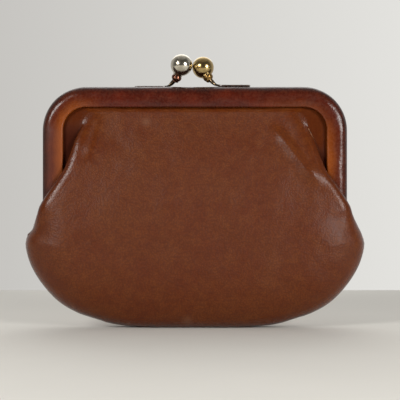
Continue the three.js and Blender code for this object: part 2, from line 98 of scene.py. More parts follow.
def nearest(line, x, z):
    """Distance from each (x, z) to a broken line, and the height and share of the line at the nearest
    place."""
    a = line[:-1]
    way = line[1:] - a
    px = x.reshape(-1, 1)
    pz = z.reshape(-1, 1)
    share = ((px - a[:, 0]) * way[:, 0] + (pz - a[:, 1]) * way[:, 1]) / (way**2).sum(1)
    share = np.clip(share, 0, 1)
    at_x = a[:, 0] + share * way[:, 0]
    at_z = a[:, 1] + share * way[:, 1]
    far = np.hypot(px - at_x, pz - at_z)
    best = far.argmin(1)
    rows = np.arange(len(best))
    along = (best + share[rows, best]) / len(way)
    return far[rows, best].reshape(x.shape), at_z[rows, best].reshape(x.shape), along.reshape(x.shape)


def eased(z, heights, values):
    """Values between heights, as a broken line whose corners are rounded by the mean over 3.6 mm."""
    fine = np.arange(-4.0, 84.0, 0.2)
    line = np.interp(fine, heights, values)
    for _ in range(3):
        line = np.convolve(np.pad(line, 6, mode="edge"), np.full(13, 1 / 13), mode="valid")
    return np.interp(z, fine, line)


def relaxed(points, faces, share, times):
    """Each point drawn towards the mean of its neighbours by its own share, again and again."""
    ends = np.vstack([np.stack([faces[:, k], faces[:, (k + 1) % 4]], axis=1) for k in range(4)])
    ends = np.vstack([ends, ends[:, ::-1]])
    count = np.bincount(ends[:, 0], minlength=len(points))[:, None]
    for _ in range(times):
        total = np.zeros_like(points)
        np.add.at(total, ends[:, 0], points[ends[:, 1]])
        points = points + share[:, None] * (total / np.maximum(count, 1) - points)
    return points


def ripple(x, z, spacing, seed):
    """Soft unevenness: the mean of nine cosine waves in seeded directions, about spacing apart, from -1
    to 1."""
    rng = np.random.default_rng(seed)
    total = 0
    for turn, phase, stretch in rng.random((9, 3)):
        angle = turn * math.tau
        length = spacing * (0.7 + 0.9 * stretch)
        wave = (x * math.cos(angle) + z * math.sin(angle)) / length
        total = total + np.cos(math.tau * (wave + phase))
    return total / 4.5


def grid_faces(rows, columns, close=False):
    """Four corners of each cell of a rows by columns grid of points; close joins the last column to the
    first."""
    index = np.arange(rows * columns).reshape(rows, columns)
    right = np.roll(index, -1, axis=1) if close else index[:, 1:]
    left = index if close else index[:, :-1]
    cells = [left[:-1], right[:-1], right[1:], left[1:]]
    return np.stack([c.ravel() for c in cells], axis=1)


def loft(rings):
    """Rings of points (stations, around, 3) as a closed body, each end a fan about the ring's middle."""
    stations, around = rings.shape[:2]
    points = np.vstack([rings.reshape(-1, 3), rings[0].mean(0), rings[-1].mean(0)])
    first = np.arange(around)
    after = np.roll(first, -1)
    last = (stations - 1) * around
    start, end = stations * around, stations * around + 1
    fans = [
        np.stack([np.full(around, start), after, first, first], axis=1),
        np.stack([np.full(around, end), last + first, last + after, last + after], axis=1),
    ]
    return points, np.vstack([grid_faces(stations, around, close=True)] + fans)


def weld(points, faces):
    """Points that fall together become one, and faces left with fewer than three corners go."""
    _, first, same = np.unique(np.round(points, 4), axis=0, return_index=True, return_inverse=True)
    faces = same.reshape(-1)[faces]
    repeated = faces == np.roll(faces, -1, axis=1)
    kept = repeated.sum(1) <= 1
    return first, faces, repeated, kept


def facing_out(points, faces):
    """The faces, turned round if the body's signed volume is negative."""
    a, b, c, d = (points[faces[:, k]] for k in range(4))
    volume = np.einsum("ij,ij->", a, np.cross(b, c)) + np.einsum("ij,ij->", a, np.cross(c, d))
    return faces if volume > 0 else faces[:, ::-1]


def put_mesh(name, points, faces, materials, part=None, values=None):
    """A piece from points in millimetres and four-cornered faces. part is each face's material, values
    its own numbers at the points."""
    first, faces, repeated, kept = weld(points, facing_out(points, faces))
    faces, repeated = faces[kept], repeated[kept]
    corners = 4 - repeated.sum(1)
    mesh = bpy.data.meshes.new(name)
    mesh.vertices.add(len(first))
    mesh.vertices.foreach_set("co", (points[first] * MM).astype(np.float32).ravel())
    mesh.loops.add(int(corners.sum()))
    mesh.loops.foreach_set("vertex_index", faces[~repeated].astype(np.int32))
    mesh.polygons.add(len(faces))
    mesh.polygons.foreach_set("loop_start", np.concatenate([[0], np.cumsum(corners)[:-1]]).astype(np.int32))
    mesh.polygons.foreach_set("use_smooth", np.ones(len(faces), bool))
    for finish in materials:
        mesh.materials.append(finish)
    if part is not None:
        mesh.polygons.foreach_set("material_index", part[kept].astype(np.int32))
    for label, numbers in (values or {}).items():
        attribute = mesh.attributes.new(label, "FLOAT", "POINT")
        attribute.data.foreach_set("value", numbers[first].astype(np.float32))
    mesh.update(calc_edges=True)
    mesh.validate()
    made = bpy.data.objects.new(name, mesh)
    bpy.context.scene.collection.objects.link(made)
    return made


def turned_body(profile, axis, centre, around=64):
    """(radius, height) points turned about an axis through a centre: x = r cos a, y = r sin a, z = h."""
    profile = np.asarray(profile, float)
    a = np.linspace(0, math.tau, around, endpoint=False)
    axis = np.asarray(axis, float) / np.linalg.norm(axis)
    across = np.cross(axis, [0.31, 0.95, 0.05])
    across /= np.linalg.norm(across)
    third = np.cross(axis, across)
    r, h = profile[:, 0, None, None], profile[:, 1, None, None]
    ring = np.cos(a)[None, :, None] * across + np.sin(a)[None, :, None] * third
    return loft(np.asarray(centre, float) + r * ring + h * axis)


def joined(bodies):
    """Several closed bodies as one list of points and one of faces."""
    starts = np.cumsum([0] + [len(p) for p, _ in bodies[:-1]])
    faces = [facing_out(p, f) + s for (p, f), s in zip(bodies, starts)]
    return np.vstack([p for p, _ in bodies]), np.vstack(faces)


# ---- Materials ----


def linear(code, alpha=1.0):
    """An sRGB hex colour as linear numbers."""
    parts = [int(code[k : k + 2], 16) / 255 for k in (1, 3, 5)]
    return tuple(c / 12.92 if c <= 0.04045 else ((c + 0.055) / 1.055) ** 2.4 for c in parts) + (alpha,)


def add(tree, kind, inputs=None, **settings):
    """Adds a node with its settings. An input is a value, or another node's output to link."""
    made = tree.nodes.new("ShaderNode" + kind)
    for label, value in settings.items():
        setattr(made, label, value)
    for label, value in (inputs or {}).items():
        if isinstance(value, bpy.types.NodeSocket):
            tree.links.new(value, made.inputs[label])
        else:
            made.inputs[label].default_value = value
    return made


def new_material(name, **uniform):
    """A material with its shader's uniform values set on the shader's own sockets."""
    made = bpy.data.materials.new(name)
    made.use_nodes = True
    shader = made.node_tree.nodes["Principled BSDF"]
    for label, value in uniform.items():
        shader.inputs[label.replace("_", " ")].default_value = value
    return made, made.node_tree, shader


A, B, RESULT = 6, 7, 2  # a colour Mix node's two inputs and its output


def spread(tree, value, low=0.0, high=1.0, start=0.0, end=1.0):
    """An output that runs from start to end while a value runs from low to high, and stops there."""
    return add(tree, "MapRange", {
        "Value": value, "From Min": low, "From Max": high, "To Min": start, "To Max": end,
    }).outputs[0]


def toned(tree, share, first, second):
    """An output that is the first colour, or the second one as far as share is 1."""
    return add(tree, "Mix", {"Factor": share, A: first, B: second}, data_type="RGBA").outputs[RESULT]


def panel_leather(name, shine, wax):
    """Vegetable-tanned calf, milled: fine pebbled grain, cloudy brown, with painted shade darkening its
    folded outline and the recess. The waxed face shines, and what is turned in does not."""
    made, tree, shader = new_material(name, Specular_IOR_Level=shine, Coat_Weight=wax, Coat_Roughness=0.3)
    place = add(tree, "TexCoord").outputs["Object"]
    cloud = add(tree, "TexNoise", {"Vector": place, "Scale": 1 / (14 * MM), "Detail": 3.0, "Roughness": 0.55})
    mottle = add(tree, "TexNoise", {
        "Vector": place, "Scale": 1 / (2.6 * MM), "Detail": 4.0, "Roughness": 0.6,
    })
    grain = add(tree, "TexVoronoi", {"Vector": place, "Scale": 1 / (0.62 * MM), "Randomness": 0.9})
    pores = add(tree, "TexNoise", {
        "Vector": place, "Scale": 1 / (0.22 * MM), "Detail": 2.0, "Roughness": 0.7,
    })
    border = add(tree, "Attribute", attribute_name="border")
    base = toned(tree, spread(tree, cloud.outputs["Fac"], 0.33, 0.68), linear("#5b2403"), linear("#602d0b"))
    spotted = toned(tree, spread(tree, mottle.outputs["Fac"], 0.4, 0.75, 0.0, 0.4), base, linear("#774013"))
    pitted = toned(
        tree, spread(tree, grain.outputs["Distance"], 0.25, 0.7, 0.0, 0.5), spotted, linear("#451b07")
    )
    # Painted shade: within about 2 mm of the outline and over the whole turned-back ribbon the colour
    # darkens, as the shade where the leather folds away.
    worn = toned(tree, spread(tree, border.outputs["Fac"], 0.0, 1.9, 0.62, 0.0), pitted, linear("#4a1f0c"))
    scuffed = add(tree, "Attribute", attribute_name="scuffed")
    rubbed = add(tree, "Math", {0: scuffed.outputs["Fac"], 1: pores.outputs["Fac"]}, operation="MULTIPLY")
    pale = toned(tree, spread(tree, rubbed.outputs[0], 0.0, 0.8, 0.0, 0.4), worn, linear("#8f6a50"))
    # Painted shade: the turned-in leather of the recess, below a set height, is coloured almost black; the
    # same mask also makes it rougher.
    deep = add(tree, "Attribute", attribute_name="turned_in_painted_shade")
    painted_shade_share = spread(tree, deep.outputs["Fac"], end=0.85)
    shaded = toned(tree, painted_shade_share, pale, linear("#361004"))
    tree.links.new(shaded, shader.inputs["Base Color"])
    rough = spread(tree, mottle.outputs["Fac"], 0.3, 0.7, 0.46, 0.54)
    polished = spread(tree, border.outputs["Fac"], 1.6, 5.0, 0.52, 1.0)
    gloss = add(tree, "Math", {0: rough, 1: polished}, operation="MULTIPLY")
    unpolished = spread(tree, deep.outputs["Fac"], end=0.5)
    surface = add(tree, "Math", {0: gloss.outputs[0], 1: unpolished}, operation="ADD")
    tree.links.new(surface.outputs[0], shader.inputs["Roughness"])
    open_grain = spread(tree, border.outputs["Fac"], 0.5, 6.0, 0.3, 0.9)
    pebble = add(tree, "Bump", {
        "Height": grain.outputs["Distance"], "Strength": open_grain, "Distance": 0.1 * MM,
    })
    crease = add(tree, "Bump", {
        "Height": mottle.outputs["Fac"], "Strength": 0.4, "Distance": 0.1 * MM, "Normal": pebble.outputs[0],
    })
    fine = add(tree, "Bump", {
        "Height": pores.outputs["Fac"], "Strength": 0.4, "Distance": 0.03 * MM, "Normal": crease.outputs[0],
    })
    tree.links.new(fine.outputs[0], shader.inputs["Normal"])
    return made


def panel_suede():
    """The flesh side of the same calf, left unlined: short nap, lighter and quite matt."""
    made, tree, shader = new_material("panel_suede_flesh_side", Roughness=0.95, Specular_IOR_Level=0.2)
    shader.inputs["Sheen Weight"].default_value = 0.35
    shader.inputs["Sheen Roughness"].default_value = 0.45
    place = add(tree, "TexCoord").outputs["Object"]
    nap = add(tree, "TexNoise", {"Vector": place, "Scale": 1 / (0.5 * MM), "Detail": 5.0, "Roughness": 0.75})
    cloud = add(tree, "TexNoise", {"Vector": place, "Scale": 1 / (9 * MM), "Detail": 2.0})
    both = add(tree, "Math", {0: nap.outputs["Fac"], 1: cloud.outputs["Fac"]}, operation="ADD")
    tone = toned(tree, spread(tree, both.outputs[0], 0.7, 1.3), linear("#6b432b"), linear("#94684a"))
    tree.links.new(tone, shader.inputs["Base Color"])
    bump = add(tree, "Bump", {"Height": nap.outputs["Fac"], "Strength": 0.6, "Distance": 0.12 * MM})
    tree.links.new(bump.outputs[0], shader.inputs["Normal"])
    return made


def cover_leather():
    """Skived calf glued round a steel bar and burnished by the hand: smooth, nearly black along the outer
    edge, worn to orange brown where it turns in on the legs."""
    made, tree, shader = new_material(
        "cover_leather_burnished_calf", Specular_IOR_Level=0.32, Coat_Weight=0.08, Coat_Roughness=0.2
    )
    place = add(tree, "TexCoord").outputs["Object"]
    reach = add(tree, "Attribute", attribute_name="reach").outputs["Fac"]
    leg = add(tree, "Attribute", attribute_name="leg").outputs["Fac"]
    cloud = add(tree, "TexNoise", {"Vector": place, "Scale": 1 / (7 * MM), "Detail": 4.0, "Roughness": 0.6})
    streak = add(tree, "TexNoise", {
        "Vector": place, "Scale": 1 / (0.8 * MM), "Detail": 4.0, "Roughness": 0.65,
    })
    wobble = spread(tree, cloud.outputs["Fac"], 0.2, 0.8, -0.9, 0.9)
    reached = add(tree, "Math", {0: reach, 1: wobble}, operation="ADD")
    bar = toned(tree, spread(tree, cloud.outputs["Fac"], 0.35, 0.7), linear("#3f0f03"), linear("#541704"))
    inner = toned(tree, spread(tree, reached.outputs[0], 3.6, 6.4), linear("#541d05"), linear("#86410d"))
    whole = toned(tree, leg, bar, inner)
    burnt = toned(tree, spread(tree, reached.outputs[0], 0.6, 3.0, 0.85, 0.0), whole, linear("#260b04"))
    streaked = toned(
        tree, spread(tree, streak.outputs["Fac"], 0.5, 0.8, 0.0, 0.22), burnt, linear("#8a4a26")
    )
    tree.links.new(streaked, shader.inputs["Base Color"])
    rough = spread(tree, streak.outputs["Fac"], 0.3, 0.7, 0.22, 0.34)
    matt = spread(tree, add(tree, "Attribute", attribute_name="matt").outputs["Fac"], end=0.36)
    surface = add(tree, "Math", {0: rough, 1: matt}, operation="ADD")
    tree.links.new(surface.outputs[0], shader.inputs["Roughness"])
    pores = add(tree, "TexVoronoi", {"Vector": place, "Scale": 1 / (0.45 * MM)})
    pebble = add(tree, "Bump", {"Height": pores.outputs["Distance"], "Strength": 0.35, "Distance": 0.03 * MM})
    drawn = add(tree, "Bump", {
        "Height": streak.outputs["Fac"], "Strength": 0.45, "Distance": 0.1 * MM, "Normal": pebble.outputs[0],
    })
    soft = add(tree, "Bump", {
        "Height": cloud.outputs["Fac"], "Strength": 0.6, "Distance": 0.5 * MM, "Normal": drawn.outputs[0],
    })
    tree.links.new(soft.outputs[0], shader.inputs["Normal"])
    return made


def plated(name, clean, worn, roughness, spot):
    """Electroplated metal handled for years: the plating thins in soft spots, and fine scratches widen
    the shine. spot is the width of the worn spots in millimetres."""
    made, tree, shader = new_material(name, Metallic=1.0)
    place = add(tree, "TexCoord").outputs["Object"]
    patch = add(tree, "TexNoise", {
        "Vector": place, "Scale": 1 / (spot * MM), "Detail": 5.0, "Roughness": 0.65,
    })
    drawn_out = add(tree, "Mapping", {"Vector": place, "Rotation": (0.4, 0.9, 0.3), "Scale": (1, 0.08, 1)})
    scratch = add(tree, "TexNoise", {
        "Vector": drawn_out.outputs[0], "Scale": 1 / (0.12 * MM), "Detail": 2.0,
    })
    tone = toned(tree, spread(tree, patch.outputs["Fac"], 0.42, 0.7), linear(clean), linear(worn))
    tree.links.new(tone, shader.inputs["Base Color"])
    rough = spread(tree, patch.outputs["Fac"], 0.3, 0.75, roughness, roughness + 0.14)
    tree.links.new(rough, shader.inputs["Roughness"])
    bump = add(tree, "Bump", {"Height": scratch.outputs["Fac"], "Strength": 0.12, "Distance": 0.01 * MM})
    tree.links.new(bump.outputs[0], shader.inputs["Normal"])
    return made


def brown_lacquer():
    """Stoved brown lacquer on a stamped steel spring plate, rubbed thin on the high places."""
    made, tree, shader = new_material("plate_brown_lacquer", Coat_Weight=0.5, Coat_Roughness=0.2)
    place = add(tree, "TexCoord").outputs["Object"]
    patch = add(tree, "TexNoise", {"Vector": place, "Scale": 1 / (1.8 * MM), "Detail": 5.0, "Roughness": 0.7})
    tone = toned(tree, spread(tree, patch.outputs["Fac"], 0.45, 0.75), linear("#2e1c12"), linear("#5a3c26"))
    tree.links.new(tone, shader.inputs["Base Color"])
    rough = spread(tree, patch.outputs["Fac"], start=0.25, end=0.5)
    tree.links.new(rough, shader.inputs["Roughness"])
    bump = add(tree, "Bump", {"Height": patch.outputs["Fac"], "Strength": 0.25, "Distance": 0.05 * MM})
    tree.links.new(bump.outputs[0], shader.inputs["Normal"])
    return made


def twisted(name, dark, light, pitch, roughness):
    """A twisted strand, waxed linen or kraft paper: bands wind round it at the strand's own pitch in
    millimetres."""
    made, tree, shader = new_material(name, Roughness=roughness, Specular_IOR_Level=0.3)
    place = add(tree, "TexCoord").outputs["Object"]
    lay = add(tree, "Mapping", {"Vector": place, "Rotation": (0.5, 0.6, 0.4)})
    strand = add(tree, "TexWave", {
        "Vector": lay.outputs[0], "Scale": 1 / (pitch * MM) / math.tau, "Distortion": 1.2, "Detail": 2.0,
    })
    fibre = add(tree, "TexNoise", {"Vector": place, "Scale": 1 / (0.15 * MM), "Detail": 3.0})
    tone = toned(tree, strand.outputs["Fac"], linear(dark), linear(light))
    tree.links.new(tone, shader.inputs["Base Color"])
    groove = add(tree, "Bump", {"Height": strand.outputs["Fac"], "Strength": 0.6, "Distance": 0.12 * MM})
    bump = add(tree, "Bump", {
        "Height": fibre.outputs["Fac"], "Strength": 0.4, "Distance": 0.04 * MM, "Normal": groove.outputs[0],
    })
    tree.links.new(bump.outputs[0], shader.inputs["Normal"])
    return made


PANEL_GRAIN = panel_leather("panel_leather_milled_calf", 0.25, 0.05)
PANEL_TURNED = panel_leather("panel_leather_turned_in", 0.08, 0.0)
PANEL_SUEDE = panel_suede()
COVER = cover_leather()
LACQUER = brown_lacquer()
GILT = plated("frame_gilt_plated_steel", "#c09a58", "#8f7444", 0.26, 3.0)
STEEL = plated("hinge_dull_steel", "#a7a298", "#77726a", 0.34, 2.0)
BRASS = plated("ball_worn_brass", "#bca674", "#9a7c50", 0.12, 3.5)
BRONZE = plated("collar_tarnished_bronze", "#7c5444", "#45241c", 0.17, 1.2)
OLD_BRASS = plated("collar_tarnished_brass", "#957645", "#5a4026", 0.24, 1.2)
WIRE = plated("stem_blackened_brass", "#6c5c46", "#2c231c", 0.15, 1.0)
NICKEL = plated("ball_nickel_plate", "#cfc9ba", "#aba28f", 0.11, 3.5)
LINEN = twisted("seam_waxed_linen", "#3d2616", "#6a4629", 0.35, 0.7)
PAPER = twisted("channel_kraft_cord", "#7d6546", "#b39a74", 0.6, 0.9)

# ---- The panels ----

# The side of a panel from the bottom seam's end to the top, as (half-width, height): the seam, its notch, and
# the crest of the fold beside the frame's leg.
SIDE = [
    (46.2, 9.1), (51.6, 15.1), (55.1, 21.1), (56.75, 27.2), (55.9, 31.2), (54.4, 33.3), (52.5, 37.3),
    (50.9, 41.3), (46.9, 47.5), (43.05, 53.4), (39.6, 62.9), (36.4, 68.9), (33.8, 71.6),
]
BOTTOM = [
    (-46.2, 9.1), (-40, 5.2), (-33.5, 2.9), (-26, 0.9), (-14, 0), (0, 0), (14, 0), (26, 0.9), (33.5, 2.9),
    (40, 5.2), (46.2, 9.1),
]
PANEL_TOP = 71.6
COLUMNS = 150
ROWS = 130

# Height, then the depth of the fold's or seam's crest, how much of it is the rounding of the edge itself, and
# the depth of the panel's middle.
CREST_AT = [27.0, 31.2, 33.3, 35.0, 37.3, 41.3, 47.5, 53.4, 58.0, 62.9, 66.0, 69.0, 71.6]
CREST = [2.0, 2.6, 3.2, 5.5, 8.0, 9.6, 9.6, 9.1, 8.5, 7.5, 6.3, 5.0, 4.75]
RIGHT_CREST = [2.0, 2.6, 3.2, 5.5, 8.0, 9.6, 9.5, 8.9, 7.9, 6.3, 5.3, 4.85, 4.75]
EDGE = [0.9, 1.0, 1.15, 1.4, 1.7, 2.0, 2.0, 2.0, 1.9, 1.6, 0.9, 0.2, 0.0]
BELLY_AT = [27.0, 34.0, 41.3, 47.5, 53.4, 58.0, 62.9, 66.0, 69.0, 71.6]
BELLY = [12.0, 11.9, 11.4, 10.6, 9.4, 8.3, 7.0, 6.1, 5.3, 4.75]
EDGE_WIDTH = 3.1

# Soft folds in the leather: (line, height, width).
FOLDS = [
    ([(26.8, 67.2), (30.0, 62.8), (33.2, 58.6), (36.4, 54.2), (39.3, 50.2), (41.8, 46.2)], 1.45, 2.4),
    ([(30.5, 66.0), (33.6, 61.4), (36.4, 57.2), (39.4, 52.6)], -0.45, 1.5),
    ([(-31.3, 71.0), (-32.6, 66.0), (-33.8, 61.0), (-35.3, 56.0)], 0.4, 2.0),
]


def panel_patch():
    """The part of a panel that shows: a Coons patch between its four sides, B(s)(1-t) + T(s)t + L(t)(1-s)
    + R(t)s less the corners' bilinear patch, with a depth for each point. Rows run upwards, columns to
    the right."""
    even_s = np.linspace(0, 1, COLUMNS + 1)
    even_t = np.linspace(0, 1, ROWS + 1)
    s = even_s - 0.6 * np.sin(math.tau * even_s) / math.tau
    t = even_t - 0.6 * np.sin(math.tau * even_t) / math.tau
    notch = np.zeros((len(SIDE), 2))
    notch[5, 1] = 1
    side = np.array(SIDE, float)
    right = through(side + 0.7 * notch, 0, t, before=BOTTOM[-2])
    left = through(side - 0.5 * notch, 0, t, before=BOTTOM[-2]) * [-1, 1]
    bottom = through(BOTTOM, 0, s, before=(-SIDE[1][0], SIDE[1][1]), after=SIDE[1])
    top = mix(left[-1], right[-1], s[:, None])
    u, v = s[None, :, None], t[:, None, None]
    corners = (
        (1 - u) * (1 - v) * bottom[0] + u * (1 - v) * bottom[-1] + (1 - u) * v * top[0] + u * v * top[-1]
    )
    flat = (1 - v) * bottom[None] + v * top[None] + (1 - u) * left[:, None] + u * right[:, None] - corners
    x, z = flat[..., 0], flat[..., 1]
    edge_line = np.vstack([left[::-1], bottom[1:-1], right])
    away, at_z, _ = nearest(edge_line[::2], x, z)
    return x, z, away, panel_depth(x, z, away, at_z)


def panel_depth(x, z, away, at_z):
    """Depth of the panel's face: edge + rounding * quarter ellipse of the distance to the edge + what is
    left up to the belly * (1 - (1 - t)^a)^(1/b), t being that distance over the width of the slope."""
    crest = mix(eased(at_z, CREST_AT, CREST), eased(at_z, CREST_AT, RIGHT_CREST), smooth((x + 10) / 20))
    rounding = eased(at_z, CREST_AT, EDGE)
    seam = 1 - smooth((at_z - 30) / 9)
    slope = eased(at_z, [2, 9, 31, 36, 42, 47], [25, 19, 17, 14, 19, 24])
    t = np.clip(away / slope, 0, 1)
    rise = (1 - (1 - t) ** mix(2.0, 2.4, seam)) ** (1 / mix(1.0, 1.7, seam))
    q = np.clip(away / EDGE_WIDTH, 0, 1)
    rounded = np.sqrt(np.clip(1 - (1 - q) ** 2, 0, 1))
    full = eased(z, BELLY_AT, BELLY)
    depth = crest - rounding + rounding * rounded + (full - crest) * rise
    for line, height, width in FOLDS:
        far, _, along = nearest(through(line, 40), x, z)
        fade = smooth(np.minimum(along, 1 - along) / 0.25)
        depth = depth + height * fade * np.exp(-((far / width) ** 2))
    calm = smooth(away / 5)
    return depth + calm * (0.15 * ripple(x, z, 12, 3) + 0.05 * ripple(x, z, 4, 4) - 0.1)


# The turned seam's rows, from the outline inwards: (distance from the outline, depth).
SEAM_ROWS = [(0.03, 0.9), (0.15, 0.5), (0.4, 0.17), (0.7, 0.12), (1.8, 0.12), (3.2, 0.12)]


def mouth_place(x, z, radius):
    """Where a border point's section crosses a line inside the frame: along the bar, round the corner at the
    given radius, and down the leg. Border points are matched to angles round the corner."""
    side = np.sign(x)
    size = np.abs(x)
    on_top = z > PANEL_TOP - 0.05
    leg_x = CORNER_ACROSS + radius
    top_z = CORNER_UP + radius
    angle = np.radians(np.where(on_top, np.interp(size, [28, 33.8], [104, 75]),
                                np.interp(z, [64.4, 68.9, 71.6], [0, 35, 75])))
    round_x = CORNER_ACROSS + radius * np.cos(angle)
    round_z = CORNER_UP + radius * np.sin(angle)
    leg_z = np.interp(z, [58.0, 64.4], [58.0, CORNER_UP])
    low = z < 64.4
    straight = on_top & (angle > math.pi / 2)
    at_x = np.where(low, leg_x, np.where(straight, np.interp(size, [0, 31.0], [0, CORNER_ACROSS]), round_x))
    at_z = np.where(low, np.where(z < 58, z, leg_z), np.where(straight, top_z, round_z))
    return np.stack([side * at_x, at_z], axis=1)


def ribbon_keys(border, depth, outward):
    """Six points after each border point, as (x, z, depth), on the way to the panel's free edge: up into
    the channel at the top, down the recess and in under the cover beside the legs, back under the fold at
    the feet, and flat against the other panel as seam allowance below the notch."""
    x, z = border.T
    side = np.sign(x)
    size = np.abs(x)
    overhang = smooth((size - 43.3) / 1.6) * smooth((61 - z) / 4)
    foot = smooth((41.1 - z) / 3)
    top = smooth((z - 65.5) / 6)
    seam = 1 - smooth((z - 32.2) / 1.6)
    free_depth = np.interp(z, [33.3, 36.5, 41.2], [0.12, 2.0, 4.15])
    floor = mix(mix(4.45, 6.5, overhang), free_depth, foot)
    mouth = mouth_place(x, z, 7.4)
    hidden = mouth_place(x, z, 11.1)
    leg_edge = np.interp(z, [50, 54], [45.2, 47.3])
    hidden[:, 0] = np.where(z < 60, side * leg_edge, hidden[:, 0])
    free = np.stack([side * np.interp(z, [33.3, 36.5, 41.2], [53.2, 50.6, 45.2]), z], axis=1)

    def inset(amount):
        return border - np.asarray(amount)[..., None] * outward

    def point(place, at):
        return np.concatenate([place, np.broadcast_to(at, z.shape)[:, None]], axis=1)

    under = inset(mix(0.6, 1.2, overhang))
    under_depth = floor + 0.15 + 0.4 * foot * np.maximum(depth - free_depth, 0)
    wall = point(inset(np.full(z.shape, 0.1)), depth - 0.35 * (depth - floor))
    turn = point(under, under_depth)
    lip = np.stack([side * 43.5, z, np.full(z.shape, 5.9)], axis=1)
    gather = np.stack([side * (size + 43) / 2, z, np.full(z.shape, 6.45)], axis=1)
    meet = point(mouth, 4.3)
    last = point(hidden, 4.15)
    loose = point(free, free_depth)
    keys = [
        wall,
        turn,
        mix(point(mix(under, mouth, 0.35), floor), gather, overhang),
        mix(point(mix(under, mouth, 0.7), floor - 0.03), lip, overhang),
        meet,
        last,
    ]
    start = point(border, depth)
    for k, share in enumerate([0.2, 0.4, 0.6, 0.8]):
        keys[k] = mix(keys[k], mix(start, meet, share), top)
    for k, share in zip((2, 3, 4, 5), (0.3, 0.6, 0.8, 1.0)):
        keys[k] = mix(keys[k], mix(turn, loose, share), foot)
    for k, (amount, at) in enumerate(SEAM_ROWS):
        keys[k] = mix(keys[k], point(inset(np.full(z.shape, amount)), at), seam)
    return [start] + keys


SCUFFS = [(-16.1, 68.7, 1.5, 1.3), (-2.4, 2.6, 1.3, 1.6)]  # (x, z, half-width, half-height)
RIBBON_STEPS = 3
TURNED_FROM = 4  # rows of the ribbon that still belong to the waxed face
# Heights under which the recess's colour gets painted shade, on each side.
SHADE_PAINTED_BELOW = {"left": 70.5, "right": 62.0}  # the recess is in the dark under this height
OUTER_THICKNESS = 1.2
TURNED_THICKNESS = 0.5


